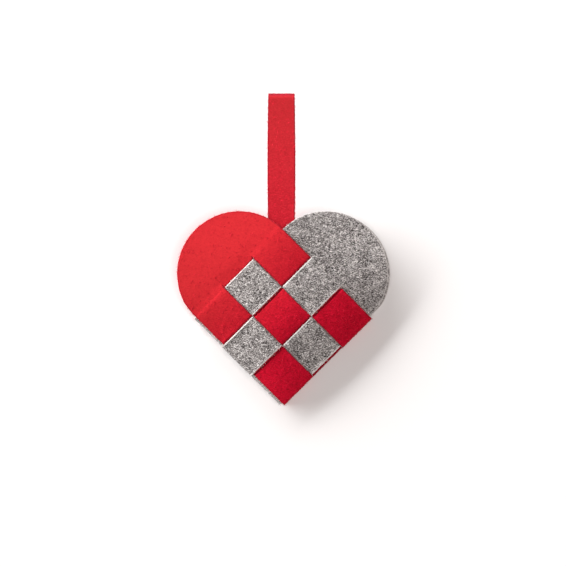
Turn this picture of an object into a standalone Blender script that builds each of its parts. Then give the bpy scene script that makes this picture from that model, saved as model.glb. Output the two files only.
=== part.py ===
"""Woven felt heart ornament lying on its back.

Two felt halves, one red and one grey, are each a band with round ends, folded in two and slit into
three strips. The looped strips go round and through each other, so the heart is a flat pocket that
opens between its round ends. A folded felt strap comes out of the notch.

Metres, +Z up. +Y runs from the heart's point to the strap's fold, +X to the right seen from above.
u and v are the weave's own directions: u runs down to the right along the red strips and v runs down
to the left along the grey ones, both from the notch.
"""

import math

import bmesh
import bpy
from mathutils import Vector

# Felt
FELT = 0.0015
CLEARANCE = 0.0003

# Cut of each half
STRIP_COUNT = 3
STRIP_PITCH = 0.025
SLIT = 0.001
BAND = STRIP_COUNT * STRIP_PITCH
LOBE_NECK = 0.0006
LOBE_LENGTH = BAND / 2 - LOBE_NECK
LOBE_RAMP = 0.006
LOBE_FLARE = 0.6

# Pocket between the front and the back
POCKET_AT_FOLDS = 0.0016
POCKET_OPENING = 0.0054
POCKET_SHOULDER = 0.029
LOBE_DROOP = 0.09
LOBE_DROOP_START = 0.003
CELL_BOW = 0.0006

# Strap
STRAP_WIDTH = 0.0162
STRAP_ABOVE_NOTCH = 0.0835
STRAP_TUCK = 0.021
STRAP_OFFSET = -0.0008
STRAP_FOLD_HEIGHT = 0.0068
STRAP_ON_TABLE = 0.4

# Levels of the layers, worked out from the felt
LAYER_STEP = FELT + CLEARANCE
HALF_STEP = LAYER_STEP / 2
BACK_MIDDLE = HALF_STEP + FELT / 2
FOLD_RADIUS = FELT / 2 + CLEARANCE
FOLD_REACH = BAND + FOLD_RADIUS + FELT / 2
POINT_BELOW_NOTCH = (FOLD_REACH + BAND) / math.sqrt(2)
NOTCH_Y = (POINT_BELOW_NOTCH - STRAP_ABOVE_NOTCH) / 2

# Mesh density
LOBE_STATIONS = (-1.0, -0.8, -0.6, -0.43, -0.29, -0.17, -0.09, -0.035, 0.0)
CELL_SEGMENTS = 4
ARC_SEGMENTS = 3
STRIP_SEGMENTS = 4
STRAP_SEGMENTS = 8
STRAP_FOLD_FACETS = 7


def smooth(share):
    """0 to 1 with level ends."""
    share = min(1.0, max(0.0, share))
    return share * share * (3 - 2 * share)


def opened(from_fold):
    """How far the pocket has opened at a distance from its folded edge: 0 there and 1 past the shoulder."""
    share = max(0.0, from_fold) / POCKET_SHOULDER
    return share / (1 + share**4) ** 0.25


def drooped(from_fold):
    """How far a round end has sunk at a distance from the fold at the other end of its half."""
    past = max(0.0, from_fold - BAND)
    return LOBE_DROOP * (math.hypot(past, LOBE_DROOP_START) - LOBE_DROOP_START)


def pocket_gap(u, v):
    """Flat in the middle, with a slope down to each fold and round ends that droop."""
    right, left = BAND - u, BAND - v
    sunk = drooped(right) * opened(left) + drooped(left) * opened(right)
    return POCKET_AT_FOLDS + POCKET_OPENING * opened(right) * opened(left) - sunk


def cell_bow(u, v):
    """The front bows outwards a little in each crossing, and is level along the slits."""
    if not (0 < u < BAND and 0 < v < BAND):
        return 0.0
    return CELL_BOW * abs(math.sin(math.pi * u / STRIP_PITCH) * math.sin(math.pi * v / STRIP_PITCH))


def front_plane(u, v):
    """Height of the plane between the two front layers, before the crossings bow outwards."""
    return BACK_MIDDLE + 2 * FELT + CLEARANCE + pocket_gap(u, v)


def side_of(cell, strip, outside_first):
    """+1 where the strip lies outside the one it crosses, and -1 where it lies inside."""
    return 1 if ((cell + strip) % 2 == 0) == outside_first else -1


def lobe_level(along, across, outside_first):
    """Between the round end and the weave the strips part, some outwards and some inwards."""
    strip = min(STRIP_COUNT - 1, int(across / STRIP_PITCH))
    nearest_slit = min(max(1, round(across / STRIP_PITCH)), STRIP_COUNT - 1) * STRIP_PITCH
    blend = SLIT / 2 - LOBE_FLARE * along
    share = min(1.0, abs(across - nearest_slit) / blend)
    return side_of(0, strip, outside_first) * share * smooth(1 + along / LOBE_RAMP)


def weave_level(along, across, outside_first):
    """-1 to 1: where the felt lies in its pair of layers. It changes sides only inside a slit."""
    if along < 0:
        return lobe_level(along, across, outside_first)
    strip = min(STRIP_COUNT - 1, int(across / STRIP_PITCH))
    cell = min(STRIP_COUNT - 1, int(along / STRIP_PITCH))
    border = min(max(1, round(along / STRIP_PITCH)), STRIP_COUNT - 1) * STRIP_PITCH
    share = min(1.0, abs(along - border) / (SLIT / 2))
    return side_of(cell, strip, outside_first) * share


def across_stations():
    """Positions across the band: the strips' edges and points between, with the slits' two edges."""
    found = []
    for strip in range(STRIP_COUNT):
        low = strip * STRIP_PITCH + (SLIT / 2 if strip else 0)
        high = (strip + 1) * STRIP_PITCH - (SLIT / 2 if strip < STRIP_COUNT - 1 else 0)
        found += [low + (high - low) * i / STRIP_SEGMENTS for i in range(STRIP_SEGMENTS + 1)]
    return found


def panel_stations():
    """Positions along one panel, from the start of the weave to the fold."""
    found = []
    for cell in range(STRIP_COUNT):
        low = cell * STRIP_PITCH + (SLIT / 2 if cell else 0)
        high = (cell + 1) * STRIP_PITCH - (SLIT / 2 if cell < STRIP_COUNT - 1 else 0)
        found += [low + (high - low) * i / CELL_SEGMENTS for i in range(CELL_SEGMENTS + 1)]
    return found


def sheet_stations():
    """The whole folded band as (kind, value): front round end, front, fold, back, back round end."""
    lobe = [("lobe", share) for share in LOBE_STATIONS]
    panel = [("panel", along) for along in panel_stations()]
    upper = [("fold", math.radians(90 * (1 - i / ARC_SEGMENTS))) for i in range(1, ARC_SEGMENTS + 1)]
    front = [("front", station) for station in lobe + panel + upper]
    return front + [("back", station) for _, station in reversed(front)]


def felt_point(face, station, across, outside_first):
    """(along, across, height) of the felt's middle, and its outward direction in the along-height plane."""
    kind, value = station
    if kind == "lobe":
        sideways = 2 * across / BAND - 1
        along = LOBE_LENGTH * value * math.sqrt(1 - sideways**2 / 2) - LOBE_NECK
        across = BAND / 2 * (1 + sideways * math.sqrt(1 - value**2 / 2))
    else:
        along = value if kind == "panel" else BAND
    u, v = (along, across) if outside_first else (across, along)
    level = HALF_STEP * weave_level(along, across, outside_first)
    front, back = front_plane(u, v) + cell_bow(u, v) + level, BACK_MIDDLE - level
    if kind != "fold":
        return along, across, *((front, 1.0) if face == "front" else (back, -1.0)), 0.0
    turn = 1 if face == "front" else -1
    straight = (front - back) / 2 - FOLD_RADIUS
    height = (front + back) / 2 + turn * (straight + FOLD_RADIUS * math.sin(value))
    return along + FOLD_RADIUS * math.cos(value), across, height, turn * math.sin(value), math.cos(value)


def place(along, across, height, outside_first):
    """From a half's own directions to the row frame. The grey half is the red one's mirror image."""
    x = (along - across) / math.sqrt(2)
    y = NOTCH_Y - (along + across) / math.sqrt(2)
    return Vector((x if outside_first else -x, y, height))


def felt_half(name, outside_first):
    """A grid in index space loses its two slots, gets its thickness, and is bent into the folded half."""
    stations, rows = sheet_stations(), across_stations()
    last_station, last_row = len(stations) - 1, len(rows) - 1
    mesh = bmesh.new()
    bmesh.ops.create_grid(mesh, x_segments=last_station, y_segments=last_row, size=0.5)
    for vertex in mesh.verts:
        vertex.co.x = round((vertex.co.x + 0.5) * last_station)
        vertex.co.y = round((vertex.co.y + 0.5) * last_row)
    slot_rows = [strip * (STRIP_SEGMENTS + 1) - 0.5 for strip in range(1, STRIP_COUNT)]
    slot_start = len(LOBE_STATIONS) - 1
    slots = []
    for face in mesh.faces:
        middle = face.calc_center_median()
        if middle.y in slot_rows and slot_start < middle.x < last_station - slot_start:
            slots.append(face)
    bmesh.ops.delete(mesh, geom=slots, context="FACES")
    grown = bmesh.ops.extrude_face_region(mesh, geom=mesh.faces[:], use_keep_orig=True)
    outer = [item for item in grown["geom"] if isinstance(item, bmesh.types.BMVert)]
    bmesh.ops.translate(mesh, verts=outer, vec=(0, 0, 1))
    for vertex in mesh.verts:
        face, station = stations[round(vertex.co.x)]
        along, across, height, up, out = felt_point(
            face, station, rows[round(vertex.co.y)], outside_first
        )
        offset = FELT * (vertex.co.z - 0.5)
        vertex.co = place(along + out * offset, across, height + up * offset, outside_first)
    bmesh.ops.recalc_face_normals(mesh, faces=mesh.faces[:])
    return add_mesh(name, mesh)


def add_mesh(name, mesh):
    data = bpy.data.meshes.new(name)
    mesh.to_mesh(data)
    mesh.free()
    data.shade_smooth()
    data.set_sharp_from_angle(angle=math.radians(35))
    made = bpy.data.objects.new(name, data)
    ornament.objects.link(made)
    return made


def shares(count):
    """Even shares of a stretch, with its end and without its start."""
    return [i / count for i in range(1, count + 1)]


def under_front(y):
    """Height of the strap's middle where it lies against the front's inner face, y above the notch."""
    down = -y / math.sqrt(2)
    side = (STRAP_WIDTH / 2 + abs(STRAP_OFFSET)) / math.sqrt(2)
    lowest = min(front_plane(down, down), front_plane(down - side, down + side))
    return lowest - HALF_STEP - LAYER_STEP


def strap_line():
    """The strap's middle line from its front end to its back end, as (y, z) with y above the notch."""
    on_table = FELT / 2
    inside_back = BACK_MIDDLE + HALF_STEP + LAYER_STEP
    radius = (STRAP_FOLD_HEIGHT - FELT) / 2
    fold_start = STRAP_ABOVE_NOTCH - FELT / 2 - radius
    lift_start = STRAP_ON_TABLE * fold_start
    line = [(-STRAP_TUCK, under_front(-STRAP_TUCK))]
    for share in shares(STRAP_SEGMENTS // 2):
        y = STRAP_TUCK * (share - 1)
        line.append((y, under_front(y)))
    front_drop = on_table + 2 * radius - under_front(0)
    for share in shares(STRAP_SEGMENTS):
        line.append((fold_start * share, under_front(0) + front_drop * smooth(share)))
    for share in shares(STRAP_FOLD_FACETS):
        turn = math.pi * share
        line.append((fold_start + radius * math.sin(turn), on_table + radius * (1 + math.cos(turn))))
    line.append((lift_start, on_table))
    for share in shares(STRAP_SEGMENTS):
        line.append((lift_start * (1 - share), on_table + (inside_back - on_table) * smooth(share)))
    line.append((-STRAP_TUCK, inside_back))
    return line


def strap_outline(line):
    """Both sides of the felt along the line, as one closed outline."""
    sides = []
    for i, point in enumerate(line):
        before, after = Vector(line[max(0, i - 1)]), Vector(line[min(len(line) - 1, i + 1)])
        direction = (after - before).normalized()
        normal = Vector((-direction.y, direction.x)) * FELT / 2
        sides.append((Vector(point) + normal, Vector(point) - normal))
    return [side[0] for side in sides] + [side[1] for side in reversed(sides)]


def hanging_strap():
    """A flat outline in the y-z plane, extruded to the strap's width."""
    outline = strap_outline(strap_line())
    curve = bpy.data.curves.new("hanging_strap", "CURVE")
    curve.dimensions = "2D"
    curve.fill_mode = "BOTH"
    curve.extrude = STRAP_WIDTH / 2
    spline = curve.splines.new("POLY")
    spline.points.add(len(outline) - 1)
    for point, corner in zip(spline.points, outline):
        point.co = (corner.x, corner.y, 0, 1)
    spline.use_cyclic_u = True
    strap = bpy.data.objects.new("hanging_strap", curve)
    strap.rotation_euler = (math.radians(90), 0, math.radians(90))
    strap.location = (STRAP_OFFSET, NOTCH_Y, 0)
    ornament.objects.link(strap)
    return strap


def felt_material(name, colour):
    material = bpy.data.materials.new(name)
    material.use_nodes = True
    shader = material.node_tree.nodes["Principled BSDF"]
    shader.inputs["Base Color"].default_value = (*colour, 1)
    shader.inputs["Roughness"].default_value = 0.95
    shader.inputs["Metallic"].default_value = 0
    return material


for leftover in list(bpy.data.objects):
    bpy.data.objects.remove(leftover)
ornament = bpy.data.collections.new("woven_felt_heart")
bpy.context.scene.collection.children.link(ornament)

red_felt = felt_material("red_felt", (0.60, 0.025, 0.04))
grey_felt = felt_material("grey_melange_felt", (0.30, 0.29, 0.285))

red_half = felt_half("red_half", outside_first=True)
grey_half = felt_half("grey_half", outside_first=False)
strap = hanging_strap()
red_half.data.materials.append(red_felt)
grey_half.data.materials.append(grey_felt)
strap.data.materials.append(red_felt)
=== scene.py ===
# Woven felt heart with a hanging strap, lying on its back on a white table.
import math

import bmesh
import bpy
import numpy as np
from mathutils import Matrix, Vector, noise


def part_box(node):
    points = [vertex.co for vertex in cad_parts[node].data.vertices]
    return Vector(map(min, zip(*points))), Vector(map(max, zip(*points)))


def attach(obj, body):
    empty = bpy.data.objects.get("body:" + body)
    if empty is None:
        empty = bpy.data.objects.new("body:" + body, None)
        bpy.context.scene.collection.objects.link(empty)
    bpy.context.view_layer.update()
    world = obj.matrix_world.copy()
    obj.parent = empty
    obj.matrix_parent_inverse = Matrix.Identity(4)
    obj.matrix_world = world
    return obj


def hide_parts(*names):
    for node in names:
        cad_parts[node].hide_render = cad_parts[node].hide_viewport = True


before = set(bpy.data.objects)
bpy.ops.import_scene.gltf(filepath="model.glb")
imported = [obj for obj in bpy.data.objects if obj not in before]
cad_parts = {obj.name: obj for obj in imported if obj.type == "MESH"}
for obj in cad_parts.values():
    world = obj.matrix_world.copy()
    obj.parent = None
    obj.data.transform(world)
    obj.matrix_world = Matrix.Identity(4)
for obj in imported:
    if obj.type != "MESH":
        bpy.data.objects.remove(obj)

mm = 0.001
rootTwo = math.sqrt(2)
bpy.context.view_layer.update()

print("camera")

photo = {
    "pixels": 567,
    "mmPerPixel": 0.609,        # at the height of the weave
    "heartMiddle": (282.75, 249.25),    # the pixel over the origin
    "distance": 1.2,            # camera above the table, in metres
    "weaveHeight": 8 * mm,
    "sensor": 36.0,             # its width in millimetres
    "clipStart": 0.01,
}


def addCamera():
    pixel = photo["mmPerPixel"] * mm
    span = photo["pixels"] * pixel
    right = (photo["pixels"] / 2 - photo["heartMiddle"][0]) * pixel
    down = (photo["pixels"] / 2 - photo["heartMiddle"][1]) * pixel
    camera = bpy.data.objects.new("camera", bpy.data.cameras.new("camera"))
    camera.data.sensor_width = photo["sensor"]
    camera.data.lens = photo["sensor"] * (photo["distance"] - photo["weaveHeight"]) / span
    camera.data.clip_start = photo["clipStart"]
    camera.location = (right, -down, photo["distance"])  # looks straight down
    bpy.context.scene.collection.objects.link(camera)
    bpy.context.scene.camera = camera


addCamera()

print("weave measures")

redLow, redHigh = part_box("red_half")
strapLow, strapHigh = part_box("hanging_strap")

felt = {
    "thickness": 1.5 * mm,
    "air": 0.3 * mm,            # between layers in the frame
    "unit": 0.78 * mm,          # half the step from one layer's middle to the next, pressed together
    "rimRound": 0.32 * mm,      # how far in a cut edge is worn round
    "rimFace": 0.55,            # share of the thickness that stays flat on a cut edge
    "edgeColourReach": 0.9 * mm,      # how far in a cut edge has changed its colour
    "squeeze": 0.6,             # share of the thickness left where a strip is pulled through a slit
    "lumpSize": 1.6 * mm,
    "lumpDepth": 0.03 * mm,
    "lumpOctaves": (0.8, 2.0, 2),       # how fast finer lumps get weaker, their step in size, how many sizes
    "offTable": 0.01 * mm,      # the felt lies on the table, not in it
}

weave = {
    "strips": 3,
    "foldReach": redHigh[0] * rootTwo,  # from the notch to the outside of a fold
    "slit": 0.45 * mm,          # opening where the other half comes through
    "slitPinch": 0.2 * mm,      # how much tighter a slit is at the corners of a crossing
    "pinchLength": 4.0 * mm,
    "slitReach": 1.2 * mm,      # how far in felt beside a slit is drawn towards it
    "slitRoot": 1.8 * mm,       # how far a slit is cut on into the round end
    "rootOpening": 0.03 * mm,   # half of what is left open at its root
    "entry": 0.8 * mm,          # half the length over which a strip first goes under the other half's edge
    "rise": 4.5 * mm,           # length over which it rises, where it first goes over that edge
    "lobeRamp": 9.0 * mm,       # length over which the round end levels out
    "lobeNeck": 0.6 * mm,       # short straight part between a round end and the weave
    "archLead": 4.0 * mm,       # how far before the weave a strip starts to bow out
    "pullLength": 8.0 * mm,     # length over which a strip is drawn in towards a tight fold
    "liftLength": 3.0 * mm,     # how far in a cut edge is pushed up by the strip that comes out under it
    "hiddenLevel": -0.3,        # a strip that dives lower than this, in units, gets no painted dive colour there
    "shadedAndHandled": (-20 * mm, 55 * mm),     # painted shade deepens each strip's colour from here to here, and its bump and loose fibres grow
    "frontLift": 4.95 * mm,     # from the table to the middle of the closed front
    "foldSide": 3.0 * mm,       # upright part of the way round a fold
    "askewLength": 12 * mm,     # length over which the back's round ends come to lie askew
}
weave["band"] = weave["foldReach"] - felt["thickness"] - felt["air"]
weave["notchY"] = redLow[1] + (weave["foldReach"] + weave["band"]) / rootTwo
weave["lobeLength"] = weave["band"] / 2 - weave["lobeNeck"]
weave["backMiddle"] = felt["unit"] + felt["thickness"] / 2
thirds = weave["band"] / weave["strips"]

# The pocket stands open: a flat top, a slope down to each fold, and round ends that droop.
pocket = {
    "gapAtFolds": 1.6 * mm,
    "gapInside": 5.8 * mm,
    "rightShoulder": 27 * mm,   # how far from each fold the slope reaches
    "leftShoulder": 19 * mm,
    "shoulderPower": 4,         # more makes a tighter bend there
    "leanPower": 8,             # more lets a crossing lean further out to its edges
    "redDroop": 0.085,          # slope of the round ends
    "greyDroop": 0.13,
    "droopStart": 8 * mm,       # length over which the droop sets in
    "droopFade": 50 * mm,       # length over which it fades out, towards the fold beside it
    "redSink": -3.0 * mm,       # how far the outer side of a round end closes: less than 0 opens it
    "redSinkStart": 25 * mm,    # how far inside the weave this starts
    "redSinkLength": 41 * mm,   # and the length over which it grows
    "greySink": -0.5 * mm,
    "greySinkStart": 0,
    "greySinkLength": 16 * mm,
    "pointSink": 1.5 * mm,      # the heart's point is pressed flat
    "pointLength": 27 * mm,
    "pointPower": 1.5,
    "slackSize": 42 * mm,       # soft unevenness of hand-folded felt, the same for both halves
    "slackDepth": 0.5 * mm,
    "slackSeed": 3.7,
    "slackRise": 4 * mm,        # its depth is full where the gap is this much wider than at the folds
}

# Each half is cut by hand, so its slits are a little off the thirds of the band.
redSlits = (thirds, 2 * thirds)
greySlits = (thirds - 0.8 * mm, 2 * thirds - 0.4 * mm)

redLook = {
    "outsideFirst": True,
    "slits": redSlits,
    "crossed": greySlits,
    "restLevel": 0.9,           # of the round end, in units: 1 is outside and -1 inside
    "entryLevels": (1.0, 0.5, 0.9),     # of the round end where each strip starts
    "arch": (0.6 * mm, 0.5 * mm, 0.3 * mm),     # how far each strip bows out over a crossing
    "bend": 1.2 * mm,           # half the length over which a strip dives through a slit
    "emergeShift": 0.75 * mm,   # how far past the other half's edge it comes up
    "diveShift": 0.2 * mm,      # how far before it the strip goes down
    "edgeLift": 0,              # how far a strip's lower edge is pushed up
    "upperEdgeShare": 1.0,           # share of the edge colour on each strip's upper edge, as against its lower one
    "lobeEdgeShares": (1.0, 1.0),     # the same for the round end's upper and lower side
    "crossPaintedLight": 1.7,           # painted shade where a strip passes through a slit
    "foldPull": (0, 0.3 * mm, 0.4 * mm),    # how much tighter each strip's fold is
    "foldPaintedLight": (0, 1.6, 0),    # painted shade on each strip's fold
    "coat": (0.2, 0.9),         # loose fibres on untouched and on handled felt
    "backShift": (-0.5 * mm, -0.6 * mm),    # how far the back's round end lies askew
    "seed": 11.3,
}
greyLook = {
    "outsideFirst": False,
    "slits": greySlits,
    "crossed": redSlits,
    "restLevel": 0.0,
    "entryLevels": (0.1, 0.9, 0.1),
    "arch": (0.2 * mm, 0.2 * mm, 0.2 * mm),
    "bend": 0.95 * mm,
    "emergeShift": -0.15 * mm,
    "diveShift": -0.15 * mm,
    "edgeLift": 0.35 * mm,
    # pale edges, stronger on the lower edges and the round end's lower side, which face from the lamp: a
    # painted highlight
    "upperEdgeShare": 0.9,
    "lobeEdgeShares": (0.2, 0.6),
    # painted highlight where a strip passes through a slit
    "crossPaintedLight": 0.5,
    "foldPull": (0.3 * mm, 0, 0),
    # paler folds: a painted highlight
    "foldPaintedLight": (0.2, 0, 0.2),
    "coat": (0.6, 0.6),
    "backShift": (1.5 * mm, -0.5 * mm),
    "seed": 47.9,
}


def smooth(x):
    x = np.clip(x, 0, 1)
    return x * x * (3 - 2 * x)


def awayFrom(lines, x):  # distance to the nearest line
    return np.min([np.abs(x - line) for line in lines], axis=0)


def spread(fromFold, shoulder):  # 0 at a fold, 1 past the shoulder
    x = np.maximum(fromFold, 0) / shoulder
    return x / (1 + x ** pocket["shoulderPower"]) ** (1 / pocket["shoulderPower"])


def sag(fromFold):  # how far along a round end it droops
    past = np.maximum(fromFold - weave["band"], 0)
    return np.sqrt(past**2 + pocket["droopStart"] ** 2) - pocket["droopStart"]


# Places in the weave: u runs along the red strips from their round end, v along the grey ones from theirs.
# How far each crossing leans, up towards its lower right end where positive: a list for each third of u.
leans = np.array([[0, 0, -0.35], [0, 0, 0.6], [0, -0.2, 0]]) * mm


def lean(u, v):
    last = weave["strips"] - 1
    uCell = np.clip((np.asarray(u) / thirds).astype(int), 0, last)
    vCell = np.clip((np.asarray(v) / thirds).astype(int), 0, last)
    x = np.clip(2 * (u / thirds - uCell) - 1, -1, 1)
    y = np.clip(2 * (v / thirds - vCell) - 1, -1, 1)
    return leans[uCell, vCell] * x * (1 - x ** pocket["leanPower"]) * (1 - y ** pocket["leanPower"])


def pocketGap(u, v):  # how far the front is lifted above that of a heart pressed shut
    fromRight, fromLeft = weave["band"] - u, weave["band"] - v
    right, left = spread(fromRight, pocket["rightShoulder"]), spread(fromLeft, pocket["leftShoulder"])
    opened = pocket["gapInside"] * right * left
    sagged = pocket["redDroop"] * sag(fromRight) * smooth(fromLeft / pocket["droopFade"])
    sagged = sagged + pocket["greyDroop"] * sag(fromLeft) * smooth(fromRight / pocket["droopFade"])
    redShare = smooth((pocket["redSinkStart"] - u) / pocket["redSinkLength"])
    greyShare = smooth((pocket["greySinkStart"] - v) / pocket["greySinkLength"])
    sunk = pocket["redSink"] * redShare * (1 - left)
    sunk = sunk + pocket["greySink"] * greyShare * (1 - right)
    nearPoint = [np.clip(1 - away / pocket["pointLength"], 0, 1) for away in (fromRight, fromLeft)]
    sunk = sunk + pocket["pointSink"] * (nearPoint[0] * nearPoint[1]) ** pocket["pointPower"]
    return pocket["gapAtFolds"] + opened - sagged - sunk + lean(u, v)


def layerLevel(along, across, look, rest):
    # How far outwards the felt lies in its pair of layers, in units: 1 outside, -1 inside. Then how far
    # it bows out, how clear it is of a dive through a slit (0 amid it, 1 past it), and 1 where it shows.
    cellEdges = np.array([0, *look["crossed"], weave["band"]])
    stripEdges = np.array([0, *look["slits"], weave["band"]])
    cell = np.searchsorted(look["crossed"], along, side="right")
    strip = np.searchsorted(look["slits"], across, side="right")
    side = np.where(((cell + strip) % 2 == 0) == look["outsideFirst"], 1, -1)
    after = np.where((strip % 2 == 0) == look["outsideFirst"], 1, -1)
    under = smooth((along / weave["entry"] + 1) / 2)
    entered = np.where(after > 0, smooth(1 + along / weave["rise"]), under)
    woven, clear = after.astype(float), np.ones(after.shape)
    for line in look["crossed"]:
        after = -after
        centre = line + np.where(after > 0, look["emergeShift"], -look["diveShift"])
        turned = np.sin(math.pi / 2 * np.clip((along - centre) / look["bend"], -1, 1))
        woven = woven + after * (1 + turned)
        clear = np.minimum(clear, np.abs(turned))
    stripMiddles = (stripEdges[:-1] + stripEdges[1:]) / 2
    between = np.interp(across, stripMiddles, range(weave["strips"]))
    low = np.minimum(between.astype(int), weave["strips"] - 2)

    def acrossStrips(values):
        values = np.array(values)
        return values[low] + (values[low + 1] - values[low]) * smooth(between - low)

    start = acrossStrips(look["entryLevels"])
    fade = smooth(1 + along / weave["lobeRamp"])
    level = (start * fade + rest * (1 - fade)) * (1 - entered) + woven * entered
    lead = np.where(cell == 0, weave["archLead"], 0)
    cellLength = cellEdges[cell + 1] - cellEdges[cell] + lead
    inCell = 2 * (along - cellEdges[cell] + lead) / cellLength - 1
    firstOut = [float((number % 2 == 0) == look["outsideFirst"]) for number in range(weave["strips"])]
    bowed = acrossStrips(firstOut) * (1 - entered) + (side > 0) * entered
    arch = acrossStrips(look["arch"]) * bowed * (1 - np.minimum(inCell**2, 1))
    shown = np.where((along < 0) | (side > 0), 1.0, 0.0)
    return level, arch, clear, shown


def slack(x, y):
    size, seed = pocket["slackSize"], pocket["slackSeed"]
    waves = [noise.noise(Vector((px / size, py / size, seed))) for px, py in zip(x, y)]
    return pocket["slackDepth"] * np.array(waves)


# The felt's grid of points: distances are in mm, and counts are of points between them.
grid = {
    "edge": (0, 0.07, 0.18, 0.33, 0.52, 0.8, 1.2, 1.8),     # in from a cut edge, close where it is worn round
    "acrossStrip": 24,
    "front": {
        "slit": (0, 0.25, 0.5, 0.75, 1.05, 1.4, 1.75, 2.2, 2.9),    # from a crossing's edge
        "crossing": 26,
        "root": (0, 0.35, 0.7, 1.1, 1.5, 2.0, 2.7, 3.6, 4.8),       # from where the round end starts
        "lobe": 38,
    },
    "back": {"slit": (0, 0.4, 0.9, 1.75, 3.0), "crossing": 14, "root": (0, 0.6, 1.3, 2.4, 4.8), "lobe": 26},
    "fold": (75, 60, 45, 30, 15, 0),    # degrees round each half of a fold
}


def rowsAcross(look):
    edge = [d * mm for d in grid["edge"]]
    stripEdges = [0, *look["slits"], weave["band"]]
    rows = []
    for strip in range(weave["strips"]):
        low = stripEdges[strip] + (weave["slit"] / 2 if strip else 0)
        high = stripEdges[strip + 1] - (weave["slit"] / 2 if strip < weave["strips"] - 1 else 0)
        middle = np.linspace(low + edge[-1], high - edge[-1], grid["acrossStrip"])[1:-1]
        rows.append(np.concatenate([[low + d for d in edge], middle, [high - d for d in reversed(edge)]]))
    return rows


def stationsAlong(look):
    # From the front's round end through the fold to the back's, as (face, kind, value). The value is a
    # share of the round end, a distance along the strips or an angle round the fold.
    def face(side, steps):
        nearSlit = [d * mm for d in steps["slit"]]
        root = [d * mm / weave["lobeLength"] for d in steps["root"]]
        outer = np.cos(np.linspace(0, math.acos(root[-1]), steps["lobe"]))[:-1]
        stations = [(side, "lobe", -float(value)) for value in list(outer) + root[::-1]]
        cellEdges = [0, *look["crossed"], weave["band"]]
        for cell in range(weave["strips"]):
            low, high = cellEdges[cell], cellEdges[cell + 1]
            stop = [high - d for d in reversed(nearSlit)][:-1] if cell < weave["strips"] - 1 else [high]
            start = [low + d for d in nearSlit]
            middle = np.linspace(start[-1], stop[0], steps["crossing"])[1:-1]
            stations += [(side, "panel", float(value)) for value in start + list(middle) + stop]
        return stations + [(side, "fold", math.radians(angle)) for angle in grid["fold"]]

    return face(1, grid["front"]) + [(0, "fold", 0.0)] + face(-1, grid["back"])[::-1]


def rimShare(distance):  # share of its thickness that the felt has near a cut edge
    inwards = np.clip(distance / felt["rimRound"], 0, 1)
    return felt["rimFace"] + (1 - felt["rimFace"]) * np.sqrt(1 - (1 - inwards) ** 2)


def edgeWearAndLight(distance):  # 1 at a cut edge and 0 a little way in
    return 1 - smooth(distance / felt["edgeColourReach"]) ** 2


def place(along, across, look):  # from a half's own directions to the table
    x = (along - across) / rootTwo
    y = weave["notchY"] - (along + across) / rootTwo
    return (x if look["outsideFirst"] else -x), y


def laidOut(kind, value, rows, pull):
    # Where a station's points lie along and across the band, and how far in from its outline.
    band = weave["band"]
    if kind == "lobe":
        sideways = 2 * rows / band - 1
        along = weave["lobeLength"] * value * np.sqrt(1 - sideways**2 / 2) - weave["lobeNeck"]
        across = band / 2 * (1 + sideways * np.sqrt(1 - value**2 / 2))
        return along, across, band / 2 * (1 - np.sqrt(value**2 + sideways**2 - value**2 * sideways**2))
    along = band - pull
    if kind == "panel":
        along = value - pull * smooth(1 - (band - value) / weave["pullLength"])
    return along, rows, np.minimum(rows, band - rows)


def towardsSlit(along, rows, look):  # how far felt beside a slit is drawn towards it
    offsets = rows[:, None] - np.array(look["slits"])[None, :]
    offset = offsets[np.arange(len(rows)), np.argmin(np.abs(offsets), 1)]
    near = np.exp(-(((np.abs(offset) - weave["slit"] / 2) / weave["slitReach"]) ** 2))
    corners = [0, *look["crossed"], weave["band"]]
    pinch = weave["slitPinch"] / 2 * np.exp(-((awayFrom(corners, along) / weave["pinchLength"]) ** 2))
    rootShare = 1 - smooth(1 + np.minimum(along, 0) / weave["slitRoot"])
    closing = np.maximum(pinch, (weave["slit"] / 2 - weave["rootOpening"]) * rootShare)
    return -np.sign(offset) * closing * near


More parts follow.
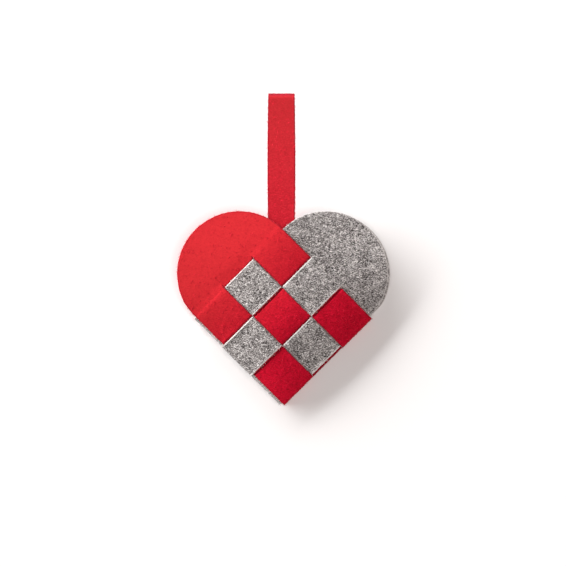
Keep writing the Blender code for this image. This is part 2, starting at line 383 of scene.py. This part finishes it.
def halfSurface(look):
    # The rows of each strip, then for each point of the grid its middle, thickness direction, half
    # thickness, edge colour (wear with painted light), loose fibres, and handling with its painted shade.
    strips = rowsAcross(look)
    rows = np.concatenate(strips)
    rowCounts = [len(strip) for strip in strips]
    pull, foldPaintedLight = np.repeat(look["foldPull"], rowCounts), np.repeat(look["foldPaintedLight"], rowCounts)
    toUpper = np.concatenate([strip - strip[0] for strip in strips])
    toLower = np.concatenate([strip[-1] - strip for strip in strips])
    edgeRise = look["edgeLift"] * smooth(1 - toLower / weave["liftLength"])
    fromSlit = awayFrom(look["slits"], rows) - weave["slit"] / 2
    upperToLower = smooth(rows / weave["band"])
    foldRadius = felt["thickness"] / 2 + felt["air"]
    surface = []
    for face, kind, value in stationsAlong(look):
        along, across, fromOutline = laidOut(kind, value, rows, pull)
        across = across + towardsSlit(along, rows, look)
        ahead, arch, clear, shown = layerLevel(along, across, look, look["restLevel"])
        behind = layerLevel(along, across, look, 1)[0]
        gap = pocketGap(along, across) if look["outsideFirst"] else pocketGap(across, along)
        loose = smooth((gap - pocket["gapAtFolds"]) / pocket["slackRise"])
        front = weave["frontLift"] + gap + felt["unit"] * ahead + arch
        front = front + loose * slack(*place(along, across, look))
        front = front + edgeRise * np.clip(ahead, 0, 1) * smooth(along / weave["pinchLength"])
        back = weave["backMiddle"] - felt["unit"] * behind
        height, reach = (front if face > 0 else back), along
        upwards, outwards = face, 0
        if kind == "fold":
            upwards, outwards = face * math.sin(value), math.cos(value)
            straight = (front - back) / 2 - foldRadius
            height = (front + back) / 2 + face * (straight + foldRadius * math.sin(value))
            reach = along + foldRadius * math.cos(value)
        x, y = place(reach, across, look)
        outX, outY = place(reach + outwards, across, look)
        directions = np.stack([outX - x, outY - y, np.full(len(rows), float(upwards))], 1)
        askew = smooth(-along / weave["askewLength"]) if face < 0 else 0
        points = np.stack([x + look["backShift"][0] * askew, y + look["backShift"][1] * askew, height], 1)
        cut = np.where(along > -weave["slitRoot"], np.minimum(fromOutline, fromSlit), fromOutline)
        squeeze = felt["squeeze"] + (1 - felt["squeeze"]) * clear
        halves = felt["thickness"] / 2 * rimShare(cut) * squeeze
        if kind == "lobe":
            wearAndPaintedLight = edgeWearAndLight(cut) * np.interp(upperToLower, (0, 1), look["lobeEdgeShares"])
        else:
            wearAndPaintedLight = edgeWearAndLight(cut) * np.where(toUpper < toLower, look["upperEdgeShare"], 1)
        # where a strip dives: painted shade on the red, a painted highlight on the grey
        if kind == "panel":
            wearAndPaintedLight = np.maximum(wearAndPaintedLight, look["crossPaintedLight"] * (1 - clear) * (ahead > weave["hiddenLevel"]))
        # folds: painted shade on the red, a painted highlight on the grey
        if kind == "fold":
            wearAndPaintedLight, shown = np.maximum(wearAndPaintedLight, foldPaintedLight), 1
        untouched, shadedAndHandled = weave["shadedAndHandled"]
        shadingAndHandling = smooth((along - untouched) / (shadedAndHandled - untouched))
        coat = (look["coat"][0] + (look["coat"][1] - look["coat"][0]) * shadingAndHandling) * shown
        surface.append((points, directions, halves, wearAndPaintedLight, coat, shadingAndHandling))
    return strips, *(np.array(values) for values in zip(*surface))


fuzz = {
    "density": 70 / (10 * mm) ** 2,     # loose fibres on the outer faces
    "inside": 0.1,              # share of that inside the pocket
    "edge": 1.2,                # how much is added at a cut edge
    "clearance": 1.7 * mm,      # there are none nearer to the table than this
    "length": 1.25 * mm,
    "thickness": 0.055 * mm,    # twice a real fibre, so that it shows
}


def feltMarks(top, bottom, wearAndPaintedLight, coat, shadingAndHandling):
    # Values for both skins: edge colour (wear with painted light), loose fibres, and handling with its
    # painted shade.
    frayed = fuzz["edge"] * np.clip(wearAndPaintedLight, 0, 1) * (wearAndPaintedLight <= 1)   # over 1 it is painted shade on a dive or fold, not a cut edge
    fibres = []
    for skin, share in ((top, coat), (bottom, np.full(coat.shape, fuzz["inside"]))):
        fibres.append((share + frayed) * smooth(skin[..., 2] / fuzz["clearance"] - 1))
    return {"wearAndPaintedLight": (wearAndPaintedLight, wearAndPaintedLight), "fuzz": fibres, "shadedAndHandled": (shadingAndHandling, shadingAndHandling)}


def closedSheet(name, top, bottom, marks, absent):
    # Two skins of a grid of points, joined along every edge: where faces are absent there is a hole.
    stations, rows = top.shape[:2]
    index = np.arange(stations * rows).reshape(stations, rows)
    under = stations * rows
    here = np.zeros((stations + 1, rows + 1), bool)
    here[1:-1, 1:-1] = ~absent
    faces = []
    for s in range(stations - 1):
        for r in range(rows - 1):
            if not here[s + 1, r + 1]:
                continue
            a, b, c, d = (int(index[i, j]) for i, j in ((s, r), (s + 1, r), (s + 1, r + 1), (s, r + 1)))
            faces.append((a, b, c, d))
            faces.append((d + under, c + under, b + under, a + under))
            for p, q, beyond in ((a, b, (0, -1)), (b, c, (1, 0)), (c, d, (0, 1)), (d, a, (-1, 0))):
                if not here[s + 1 + beyond[0], r + 1 + beyond[1]]:
                    faces.append((q, p, p + under, q + under))
    data = bpy.data.meshes.new(name)
    points = np.concatenate([top.reshape(-1, 3), bottom.reshape(-1, 3)])
    data.from_pydata(points.tolist(), [], faces)
    for label, (above, below) in marks.items():
        values = np.concatenate([above.ravel(), below.ravel()]).astype(np.float32)
        data.attributes.new(label, "FLOAT", "POINT").data.foreach_set("value", values)
    mesh = bmesh.new()
    mesh.from_mesh(data)
    bmesh.ops.delete(mesh, geom=[v for v in mesh.verts if not v.link_faces], context="VERTS")
    bmesh.ops.recalc_face_normals(mesh, faces=mesh.faces[:])
    if mesh.calc_volume(signed=True) < 0:   # it can turn so thin a sheet inside out
        bmesh.ops.reverse_faces(mesh, faces=mesh.faces[:])
    mesh.to_mesh(data)
    mesh.free()
    data.shade_smooth()
    made = bpy.data.objects.new(name, data)
    bpy.context.scene.collection.objects.link(made)
    print("  ", name, len(data.polygons), "faces")
    return made


def lumps(points, seed):  # small unevenness of the pressed wool
    shift = Vector((seed, seed, seed))
    found = []
    for p in points.reshape(-1, 3):
        found.append(noise.fractal(Vector(p) / felt["lumpSize"] + shift, *felt["lumpOctaves"]))
    return felt["lumpDepth"] * np.array(found).reshape(points.shape[:-1])


def feltSkins(points, directions, halves, seed):
    skins = []
    for outwards in (directions, -directions):
        skin = points + outwards * halves[..., None]
        skin = skin + outwards * lumps(skin, seed)[..., None]
        skin[..., 2] = np.maximum(skin[..., 2], felt["offTable"])
        skins.append(skin)
    return skins


def feltHalf(name, look):
    strips, points, directions, halves, wearAndPaintedLight, coat, shadingAndHandling = halfSurface(look)
    top, bottom = feltSkins(points, directions, halves, look["seed"])
    absent = np.zeros((points.shape[0] - 1, points.shape[1] - 1), bool)
    slitRow = 0     # no faces lie between two strips, from the root of their slit on
    for strip in strips[:-1]:
        slitRow += len(strip)
        middle = (points[:, slitRow - 1, :2] + points[:, slitRow, :2]) / 2
        sideways = middle[:, 0] if look["outsideFirst"] else -middle[:, 0]
        along = (sideways + weave["notchY"] - middle[:, 1]) / rootTwo
        isOpen = along > -weave["slitRoot"]
        absent[:, slitRow - 1] = isOpen[:-1] & isOpen[1:]
    return closedSheet(name, top, bottom, feltMarks(top, bottom, wearAndPaintedLight, coat, shadingAndHandling), absent)


print("felt halves")
redHalf = feltHalf("red_felt_half", redLook)
greyHalf = feltHalf("grey_felt_half", greyLook)

print("strap")

strapLook = {
    "width": 16.1 * mm,
    "sideRoom": 0.8 * mm,       # the front leaves this much room beside it
    "bulge": 0.45 * mm,         # wider half way up, on each side
    "foldHeight": 6.8 * mm,
    "tuck": 21 * mm,
    "onTable": 0.4,             # share of its length below which the back leg lifts off the table
    "below": 2.85 * mm,         # how far its middle lies under the middle of the front
    "shadedAndHandled": 0.5,             # painted shade: deeper in colour towards the heart
    "coat": 0.35,               # loose fibres
    "coatFade": 4 * mm,         # how far into the pocket they reach
    "foldPaintedLight": 1.3,            # painted shade: the fold is darkened
    "foldWidth": 2.2 * mm,      # for this far from its top
    "seed": 83.1,
    "points": {"across": 20, "tucked": 24, "raised": 100, "fold": 20, "flat": 60, "lifted": 40},
}


def strapPath():
    # The strap's middle line from the front end to the back end, as (y above the notch, z).
    onTable = felt["thickness"] / 2
    reach = strapHigh[1] - weave["notchY"]
    radius = (strapLook["foldHeight"] - felt["thickness"]) / 2
    foldStart = reach - felt["thickness"] / 2 - radius
    side = (strapLook["width"] / 2 + strapLook["sideRoom"]) / rootTwo
    counts = strapLook["points"]

    def underFront(y):
        down = -y / rootTwo
        lowest = min(pocketGap(down, down), pocketGap(down - side, down + side))
        return weave["frontLift"] + float(lowest) - strapLook["below"]

    def slope(start, stop, count):  # from one (y, z) to the other, level at both ends
        share = np.linspace(0, 1, count)[1:]
        y = start[0] * (1 - share) + stop[0] * share
        return list(zip(y, start[1] + (stop[1] - start[1]) * smooth(share)))

    inFront = [(y, underFront(y)) for y in np.linspace(-strapLook["tuck"], 0, counts["tucked"])]
    raised = slope(inFront[-1], (foldStart, onTable + 2 * radius), counts["raised"])
    turns = np.linspace(0, math.pi, counts["fold"])[1:]
    fold = [(foldStart + radius * math.sin(turn), onTable + radius * (1 + math.cos(turn))) for turn in turns]
    liftStart = strapLook["onTable"] * foldStart
    flat = slope((foldStart, onTable), (liftStart, onTable), counts["flat"])
    inside = weave["backMiddle"] + felt["unit"] + felt["thickness"] + felt["air"]
    lifted = slope((liftStart, onTable), (0, inside), counts["lifted"])
    behind = slope((0, inside), (-strapLook["tuck"], inside), counts["tucked"])
    return np.array(inFront + raised + fold + flat + lifted + behind)


def feltStrap():
    path = strapPath()
    ahead = np.gradient(path, axis=0)
    ahead = ahead / np.linalg.norm(ahead, axis=1)[:, None]
    normal = np.stack([-ahead[:, 1], ahead[:, 0]], 1)
    half = strapLook["width"] / 2
    nearEdge = np.array(grid["edge"][:-1]) * mm
    middle = np.linspace(-half + nearEdge[-1], half - nearEdge[-1], strapLook["points"]["across"])[1:-1]
    across = np.concatenate([-half + nearEdge, middle, (half - nearEdge)[::-1]])
    travelled = np.concatenate([[0], np.cumsum(np.linalg.norm(np.diff(path, axis=0), axis=1))])
    share = np.clip(path[:, 0] / (strapHigh[1] - weave["notchY"]), 0, 1)
    widen = 1 + strapLook["bulge"] / half * np.sin(math.pi * share)
    middleX = (strapLow[0] + strapHigh[0]) / 2
    points = np.zeros((len(path), len(across), 3))
    points[..., 0] = middleX + across[None, :] * widen[:, None]
    points[..., 1] = weave["notchY"] + path[:, None, 0]
    points[..., 2] = path[:, None, 1]
    directions = np.zeros_like(points)
    directions[..., 1] = normal[:, None, 0]
    directions[..., 2] = normal[:, None, 1]
    ends = np.minimum(travelled, travelled[-1] - travelled)
    cut = np.minimum(half - np.abs(across)[None, :], ends[:, None])
    halves = felt["thickness"] / 2 * rimShare(cut)
    top, bottom = feltSkins(points, directions, halves, strapLook["seed"])
    absent = np.zeros((len(path) - 1, len(across) - 1), bool)
    strapLook["length"] = float(travelled[-1])

    def overWidth(values):
        return values[:, None] * np.ones_like(cut)

    y = path[:, 0]
    coat = overWidth(strapLook["coat"] * smooth(1 + y / strapLook["coatFade"]))
    shadingAndHandling = overWidth(strapLook["shadedAndHandled"] * (1 - share))
    atFold = overWidth(smooth((y - y.max()) / strapLook["foldWidth"] + 1))
    # edge colour, with painted shade over the fold
    wearAndPaintedLight = np.maximum(edgeWearAndLight(cut), strapLook["foldPaintedLight"] * atFold)
    return closedSheet("felt_strap", top, bottom, feltMarks(top, bottom, wearAndPaintedLight, coat, shadingAndHandling), absent)


strap = feltStrap()

print("felt materials")


def hexColour(text):  # sRGB hex to linear
    channels = [int(text[i:i + 2], 16) / 255 for i in (0, 2, 4)]
    return (*[c / 12.92 if c <= 0.04045 else ((c + 0.055) / 1.055) ** 2.4 for c in channels], 1.0)


def addNode(tree, kind, values=None, links=None, **settings):
    node = tree.nodes.new(kind)
    for name, value in settings.items():
        setattr(node, name, value)
    for socket, value in (values or {}).items():
        node.inputs[socket].default_value = value
    for socket, source in (links or {}).items():
        tree.links.new(source, node.inputs[socket])
    return node


def setRamp(node, stops):
    ramp = node.color_ramp
    while len(ramp.elements) > 1:
        ramp.elements.remove(ramp.elements[-1])
    ramp.elements[0].position = stops[0][0]
    ramp.elements[0].color = hexColour(stops[0][1])
    for position, colour in stops[1:]:
        ramp.elements.new(position).color = hexColour(colour)


# What all the felts share: how their strands curl and lie, and how much each part of the mottle weighs.
wool = {
    "curlSize": 2.5,            # in lengths of a strand
    "curl": 1.2,                # how far they are pulled about, in the same measure
    "tilt": 0.35,               # how far strands tip into the felt, in radians
    "ways": ((12, 1.7), (58, 4.1), (103, 7.9), (151, 9.2)),     # in degrees, with a seed each
    "apart": (0.013, 0.007, 0.003),     # places a seed's strands elsewhere in the noise
    "clumpWeight": 0.35,
    "cloudWeight": 0.18,
    "grainWeight": 0.9,
    "roughness": 0.95,
    "specular": 0.05,
    "sheenRoughness": 0.5,
}

# Needle-punched wool felt in one dye: matt, with a faint mottle where fibres lie over each other.
redWool = {
    "stops": ((0.0, "8a1a1e"), (0.42, "bb242b"), (0.58, "c5282f"), (1.0, "de4241")),
    "paintedShadeTint": "ff6ceb",    # painted shade: the red deepens along the strips towards the folds
    "rim": "6e0c24",            # painted shade: darker cut edges, dives and folds
    "rimStrength": 0.4,
    "strandLength": 1.8 * mm,
    "strandWidth": 0.33 * mm,
    "clump": 3.5 * mm,
    "cloud": 11 * mm,
    "grain": 0.6 * mm,
    "contrast": 0.4,
    "paintedMottleContrast": 2.2,     # how much stronger the colour mottle grows along the strips, painted in for the raking light
    "bump": 0.5 * mm,
    "untouchedBump": 0.3,       # share of that on felt that was not handled
    "sheen": 0.15,
    "sheenTint": "ffb090",
}
# A darker copy of the red felt: painted shade on the strap, stronger on its fold and edges.
shadedStrapWool = {
    **redWool,
    "stops": ((0.0, "841a1e"), (0.42, "b2242b"), (0.58, "bb282f"), (1.0, "d44241")),
    "rimStrength": 0.75,
}

# Melange felt: light and dark fibres pressed together, so the eye sees short pale and dark strands.
greyWool = {
    "stops": ((0.0, "282626"), (0.33, "6c6867"), (0.6, "9b9694"), (1.0, "f2efed")),
    # paler cut edges, dives and folds: pale cut fibres with a painted highlight
    "rim": "ece7e4",
    "rimStrength": 1.0,
    "strandLength": 1.3 * mm,
    "strandWidth": 0.29 * mm,
    "clump": 2.4 * mm,
    "cloud": 9 * mm,
    "grain": 0.45 * mm,
    "contrast": 2.6,
    "bump": 0.17 * mm,
    "untouchedBump": 1.0,
    "sheen": 0.05,
    "sheenTint": "ffffff",
}


def bentCoordinates(tree, look):  # object coordinates pulled about a little, so that strands curl
    coordinates = addNode(tree, "ShaderNodeTexCoord")
    curlSize = wool["curlSize"] * look["strandLength"]
    curl = addNode(tree, "ShaderNodeTexNoise", {"Scale": 1 / curlSize, "Detail": 1.0},
                   {"Vector": coordinates.outputs["Object"]})
    centred = addNode(tree, "ShaderNodeVectorMath", {1: (0.5, 0.5, 0.5)},
                      {0: curl.outputs["Color"]}, operation="SUBTRACT")
    pulled = addNode(tree, "ShaderNodeVectorMath", {"Scale": wool["curl"] * look["strandLength"]},
                     {0: centred.outputs[0]}, operation="SCALE")
    return addNode(tree, "ShaderNodeVectorMath", None,
                   {0: coordinates.outputs["Object"], 1: pulled.outputs[0]}, operation="ADD").outputs[0]


def strands(tree, where, look, turn, seed):
    # Streaks of fibre lying one way: noise drawn out along one direction.
    tilt = wool["tilt"]
    turned = addNode(tree, "ShaderNodeMapping",
                     {"Rotation": (tilt * math.sin(seed), tilt * math.cos(seed), math.radians(turn)),
                      "Location": [seed * step for step in wool["apart"]],
                      "Scale": (1 / look["strandLength"], 1 / look["strandWidth"], 1 / look["strandWidth"])},
                     {"Vector": where}, vector_type="POINT")
    return addNode(tree, "ShaderNodeTexNoise", {"Scale": 1.0, "Detail": 1.0, "Roughness": 0.5},
                   {"Vector": turned.outputs[0]}).outputs["Fac"]


def extreme(tree, values, operation):  # the greatest or the least of them
    found = values[0]
    for value in values[1:]:
        found = addNode(tree, "ShaderNodeMath", None, {0: found, 1: value}, operation=operation).outputs[0]
    return found


def weighted(tree, parts, base):  # base plus the sum of value times weight
    total = None
    for value, weight in parts:
        links = {0: value} if total is None else {0: value, 2: total}
        node = addNode(tree, "ShaderNodeMath", {1: weight, 2: base}, links, operation="MULTIPLY_ADD")
        total = node.outputs[0]
    return total


def cloud(tree, where, size, detail):  # lighter and darker spots of about one size
    return addNode(tree, "ShaderNodeTexNoise", {"Scale": 1 / size, "Detail": detail, "Roughness": 0.6},
                   {"Vector": where}).outputs["Fac"]


def feltTone(tree, look):  # about 0.5 in the mean, and more or less by the felt's contrast
    where = bentCoordinates(tree, look)
    ways = [strands(tree, where, look, turn, seed) for turn, seed in wool["ways"]]
    pale = extreme(tree, ways, "MAXIMUM")
    dark = extreme(tree, ways, "MINIMUM")
    clumps = cloud(tree, where, look["clump"], 2.0)
    clouds = cloud(tree, where, look["cloud"], 1.0)
    grains = cloud(tree, where, look["grain"], 2.0)
    spots = (wool["clumpWeight"], wool["cloudWeight"], wool["grainWeight"])
    parts = zip((pale, dark, clumps, clouds, grains), (1.0, 1.0, *spots))
    middle = 1.0 + sum(spots) / 2       # pale and dark make 1 together, and each of the others 0.5
    contrast = look["contrast"]
    return weighted(tree, [(value, weight * contrast) for value, weight in parts], 0.5 - middle * contrast)


def shadedColour(tree, look, tone, shadedAndHandled):  # painted shade: stronger mottle and a deeper tint along the strips
    mottle = tone
    if "paintedMottleContrast" in look:
        away = addNode(tree, "ShaderNodeMath", {1: 0.5}, {0: tone}, operation="SUBTRACT")
        more = addNode(tree, "ShaderNodeMath", None, {0: away.outputs[0], 1: shadedAndHandled}, operation="MULTIPLY")
        mottle = addNode(tree, "ShaderNodeMath", {1: look["paintedMottleContrast"]}, {0: more.outputs[0], 2: tone},
                         operation="MULTIPLY_ADD").outputs[0]
    ramp = addNode(tree, "ShaderNodeValToRGB", None, {"Fac": mottle})
    setRamp(ramp, look["stops"])
    if "paintedShadeTint" not in look:
        return ramp.outputs["Color"]
    return addNode(tree, "ShaderNodeMix", {7: hexColour(look["paintedShadeTint"])},
                   {0: shadedAndHandled, 6: ramp.outputs["Color"]}, data_type="RGBA", blend_type="MULTIPLY").outputs[2]


def feltMaterial(name, look):
    material = bpy.data.materials.new(name)
    material.use_nodes = True
    tree = material.node_tree
    shader = tree.nodes["Principled BSDF"]
    tone = feltTone(tree, look)
    shadedAndHandled = addNode(tree, "ShaderNodeAttribute", attribute_name="shadedAndHandled").outputs["Fac"]
    colour = shadedColour(tree, look, tone, shadedAndHandled)
    # Edge colour: painted shade on the red, pale cut fibres with a painted highlight on the grey
    wearAndPaintedLight = addNode(tree, "ShaderNodeAttribute", attribute_name="wearAndPaintedLight")
    rim = addNode(tree, "ShaderNodeMath", {1: look["rimStrength"]}, {0: wearAndPaintedLight.outputs["Fac"]},
                  operation="MULTIPLY", use_clamp=True)
    edgePainted = addNode(tree, "ShaderNodeMix", {7: hexColour(look["rim"])}, {0: rim.outputs[0], 6: colour},
                   data_type="RGBA")
    tree.links.new(edgePainted.outputs[2], shader.inputs["Base Color"])
    bump = addNode(tree, "ShaderNodeBump", {"Strength": 1.0, "Distance": look["bump"]}, {"Height": tone})
    if look["untouchedBump"] < 1:
        relief = addNode(tree, "ShaderNodeMath", {1: 1 - look["untouchedBump"], 2: look["untouchedBump"]},
                         {0: shadedAndHandled}, operation="MULTIPLY_ADD")
        tree.links.new(relief.outputs[0], bump.inputs["Strength"])
    tree.links.new(bump.outputs["Normal"], shader.inputs["Normal"])
    shader.inputs["Roughness"].default_value = wool["roughness"]
    shader.inputs["Specular IOR Level"].default_value = wool["specular"]
    shader.inputs["Sheen Weight"].default_value = look["sheen"]
    shader.inputs["Sheen Roughness"].default_value = wool["sheenRoughness"]
    shader.inputs["Sheen Tint"].default_value = hexColour(look["sheenTint"])
    return material


redFelt = feltMaterial("red_wool_felt", redWool)
greyFelt = feltMaterial("grey_melange_wool_felt", greyWool)
redHalf.data.materials.append(redFelt)
greyHalf.data.materials.append(greyFelt)
strap.data.materials.append(feltMaterial("strap_wool_felt_shaded", shadedStrapWool))

# Single wool fibres that stand off the felt: each has its own tone along these stops.
redFibre = ((0.0, "9c0a26"), (0.5, "c00c2e"), (1.0, "d82840"))
greyFibre = ((0.0, "2a2828"), (0.35, "6e6a69"), (0.6, "b5b0ae"), (1.0, "f7f4f2"))

# The form of a fibre that runs along x and curls to the side along y, in shares of its length.
fibreForm = {
    "root": (0, 0, -0.02),
    "middle": (0.5, 0.17),      # along and above the felt
    "tip": (0.9, 0.1),
    "curls": (0.34, -0.28, 0.12),       # one for each kind of fibre
    "middleCurl": -1 / 3,       # share of the curl, the other way
    "steps": 3,
    "sides": 3,
    "taper": (0.55, 0.2),       # its radius at the root and at the tip, as a share of "thickness"
    "tilt": 0.16,               # how far it tips at random, in radians
    "sizes": (0.5, 1.35),       # from the shortest to the longest, as a share of "length"
}


def fibreMaterial(name, stops):
    material = bpy.data.materials.new(name)
    material.use_nodes = True
    tree = material.node_tree
    shader = tree.nodes["Principled BSDF"]
    tone = addNode(tree, "ShaderNodeAttribute", attribute_name="tone")
    ramp = addNode(tree, "ShaderNodeValToRGB", None, {"Fac": tone.outputs["Fac"]})
    setRamp(ramp, stops)
    tree.links.new(ramp.outputs["Color"], shader.inputs["Base Color"])
    shader.inputs["Roughness"].default_value = 0.7
    shader.inputs["Specular IOR Level"].default_value = 0.1
    return material


def fibreShapes(tree, length, thickness):  # one instance for each curl, a length of 1 long
    radius = addNode(tree, "ShaderNodeMath", None, {0: thickness, 1: length}, operation="DIVIDE")
    section = addNode(tree, "GeometryNodeCurvePrimitiveCircle", {"Resolution": fibreForm["sides"]},
                      {"Radius": radius.outputs[0]})
    along = addNode(tree, "GeometryNodeSplineParameter")
    atRoot, atTip = fibreForm["taper"]
    taper = addNode(tree, "ShaderNodeMath", {1: atTip - atRoot, 2: atRoot}, {0: along.outputs["Factor"]},
                    operation="MULTIPLY_ADD")
    shapes = addNode(tree, "GeometryNodeGeometryToInstance")
    (middleAlong, middleUp), (tipAlong, tipUp) = fibreForm["middle"], fibreForm["tip"]
    for curl in fibreForm["curls"]:
        line = addNode(tree, "GeometryNodeCurveQuadraticBezier",
                       {"Resolution": fibreForm["steps"], "Start": fibreForm["root"],
                        "Middle": (middleAlong, curl * fibreForm["middleCurl"], middleUp),
                        "End": (tipAlong, curl, tipUp)})
        tapered = addNode(tree, "GeometryNodeSetCurveRadius", None,
                          {"Curve": line.outputs[0], "Radius": taper.outputs[0]})
        fibre = addNode(tree, "GeometryNodeCurveToMesh", {"Fill Caps": True},
                        {"Curve": tapered.outputs[0], "Profile Curve": section.outputs[0]})
        tree.links.new(fibre.outputs[0], shapes.inputs[0])
    return shapes.outputs[0]


def fibreTree():
    # Curled fibres scattered over a felt mesh, more where its attribute "fuzz" is high.
    tree = bpy.data.node_groups.new("felt fibres", "GeometryNodeTree")
    for name, kind in (("Geometry", "Geometry"), ("Density", "Float"), ("Length", "Float"),
                       ("Thickness", "Float"), ("Seed", "Int"), ("Material", "Material")):
        tree.interface.new_socket(name=name, in_out="INPUT", socket_type="NodeSocket" + kind)
    tree.interface.new_socket(name="Geometry", in_out="OUTPUT", socket_type="NodeSocketGeometry")
    given = addNode(tree, "NodeGroupInput").outputs

    def drawn(kind, values):  # a number or vector of its own for each fibre
        node = addNode(tree, "FunctionNodeRandomValue", values, {"Seed": given["Seed"]}, data_type=kind)
        return node.outputs

    share = addNode(tree, "GeometryNodeInputNamedAttribute", {"Name": "fuzz"}, data_type="FLOAT")
    density = addNode(tree, "ShaderNodeMath", None, {0: share.outputs["Attribute"], 1: given["Density"]},
                      operation="MULTIPLY")
    roots = addNode(tree, "GeometryNodeDistributePointsOnFaces", None,
                    {"Mesh": given["Geometry"], "Density": density.outputs[0], "Seed": given["Seed"]})
    shapes = fibreShapes(tree, given["Length"], given["Thickness"])
    tilt = fibreForm["tilt"]
    turn = drawn("FLOAT_VECTOR", {"Min": (-tilt, -tilt, 0), "Max": (tilt, tilt, 2 * math.pi)})
    turned = addNode(tree, "FunctionNodeEulerToRotation", None, {0: turn["Value"]})
    facing = addNode(tree, "FunctionNodeRotateRotation", None,
                     {"Rotation": roots.outputs["Rotation"], "Rotate By": turned.outputs[0]},
                     rotation_space="LOCAL")
    size = drawn("FLOAT", {2: fibreForm["sizes"][0], 3: fibreForm["sizes"][1]})
    scale = addNode(tree, "ShaderNodeMath", None, {0: size[1], 1: given["Length"]}, operation="MULTIPLY")
    pick = drawn("INT", {4: 0, 5: len(fibreForm["curls"]) - 1})
    placed = addNode(tree, "GeometryNodeInstanceOnPoints", {"Pick Instance": True},
                     {"Points": roots.outputs["Points"], "Instance": shapes, "Instance Index": pick[2],
                      "Rotation": facing.outputs[0], "Scale": scale.outputs[0]})
    tone = drawn("FLOAT", {2: 0.0, 3: 1.0})
    toned = addNode(tree, "GeometryNodeStoreNamedAttribute", {"Name": "tone"},
                    {"Geometry": placed.outputs[0], "Value": tone[1]}, data_type="FLOAT", domain="INSTANCE")
    real = addNode(tree, "GeometryNodeRealizeInstances", None, {"Geometry": toned.outputs[0]})
    coated = addNode(tree, "GeometryNodeSetMaterial", None,
                     {"Geometry": real.outputs[0], "Material": given["Material"]})
    addNode(tree, "NodeGroupOutput", None, {"Geometry": coated.outputs[0]})
    return tree


feltFibres = fibreTree()


def addFibres(name, sheet, material, seed):
    carrier = bpy.data.objects.new(name, sheet.data)
    bpy.context.scene.collection.objects.link(carrier)
    modifier = carrier.modifiers.new("fibres", "NODES")
    modifier.node_group = feltFibres
    values = {"Density": fuzz["density"], "Length": fuzz["length"], "Thickness": fuzz["thickness"],
              "Seed": seed, "Material": material}
    for socket in feltFibres.interface.items_tree:
        if socket.in_out == "INPUT" and socket.name in values:
            modifier[socket.identifier] = values[socket.name]
    seen = carrier.evaluated_get(bpy.context.evaluated_depsgraph_get())
    data = bpy.data.meshes.new_from_object(seen)
    data.name = name
    carrier.modifiers.clear()
    carrier.data = data
    data.shade_smooth()
    print("  ", name, len(data.polygons), "faces")
    return carrier


print("loose fibres")
redWoolFibre = fibreMaterial("red_wool_fibre", redFibre)
greyWoolFibre = fibreMaterial("grey_melange_wool_fibre", greyFibre)
redFibres = addFibres("red_felt_fibres", redHalf, redWoolFibre, 5)
greyFibres = addFibres("grey_felt_fibres", greyHalf, greyWoolFibre, 17)
strapFibres = addFibres("strap_felt_fibres", strap, redWoolFibre, 29)

print("table and light")

studio = {
    "table": "f4f4f4",
    "tableSize": 3.0,
    "world": "f6f1f0",
    "worldStrength": 0.12,
}

# Lights: where each comes from seen from above, its height in degrees, distance and size in metres, power.
lamps = {
    "key": {"from": (-0.78, 0.63), "elevation": 13.5, "distance": 3.6, "size": (7.5, 1.4), "power": 620,
            "colour": "fffefe"},
    "fill": {"from": (0.8, -0.6), "elevation": 74, "distance": 2.4, "size": (2.2, 2.2), "power": 35,
             "colour": "fff4f0"},
}


def addTable():
    half = studio["tableSize"] / 2
    data = bpy.data.meshes.new("table")
    corners = [(-half, -half, 0), (half, -half, 0), (half, half, 0), (-half, half, 0)]
    data.from_pydata(corners, [], [(0, 1, 2, 3)])
    table = bpy.data.objects.new("table", data)
    bpy.context.scene.collection.objects.link(table)
    material = bpy.data.materials.new("white_table_top")
    material.use_nodes = True
    shader = material.node_tree.nodes["Principled BSDF"]
    shader.inputs["Base Color"].default_value = hexColour(studio["table"])
    shader.inputs["Roughness"].default_value = 0.9
    shader.inputs["Specular IOR Level"].default_value = 0.0
    table.data.materials.append(material)


def addLamp(name, look):
    elevation = math.radians(look["elevation"])
    flat = Vector((*look["from"], 0)).normalized()
    where = flat * math.cos(elevation) + Vector((0, 0, math.sin(elevation)))
    light = bpy.data.lights.new(name, "AREA")
    light.shape = "RECTANGLE"
    light.size, light.size_y = look["size"]
    light.energy = look["power"]
    light.color = hexColour(look["colour"])[:3]
    lamp = bpy.data.objects.new(name, light)
    lamp.location = where * look["distance"]
    lamp.rotation_euler = (-where).to_track_quat("-Z", "Y").to_euler()
    bpy.context.scene.collection.objects.link(lamp)
    return lamp


def addWorld():
    world = bpy.data.worlds.new("studio")
    world.use_nodes = True
    background = world.node_tree.nodes["Background"]
    background.inputs["Color"].default_value = hexColour(studio["world"])
    background.inputs["Strength"].default_value = studio["worldStrength"]
    bpy.context.scene.world = world
    bpy.context.scene.view_settings.view_transform = "Standard"


def keepShadowOff(lamp, pieces):  # the lamp's light passes through these pieces
    passed = bpy.data.collections.new(lamp.name + "_passes")
    for piece in pieces:
        passed.objects.link(piece)
    lamp.light_linking.blocker_collection = passed
    for linked in passed.collection_objects:
        linked.light_linking.link_state = "EXCLUDE"


addTable()
addWorld()
for name, look in lamps.items():
    keepShadowOff(addLamp(name, look), (strap, strapFibres))    # the thin strap throws none on the table

print("pieces on the frame")

for piece, fibres, node, slot in (
    (redHalf, redFibres, "red_half", "red_felt"),
    (greyHalf, greyFibres, "grey_half", "grey_melange_felt"),
    (strap, strapFibres, "hanging_strap", "strap_felt"),
):
    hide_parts(node)
    for part in (piece, fibres):
        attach(part, "root")
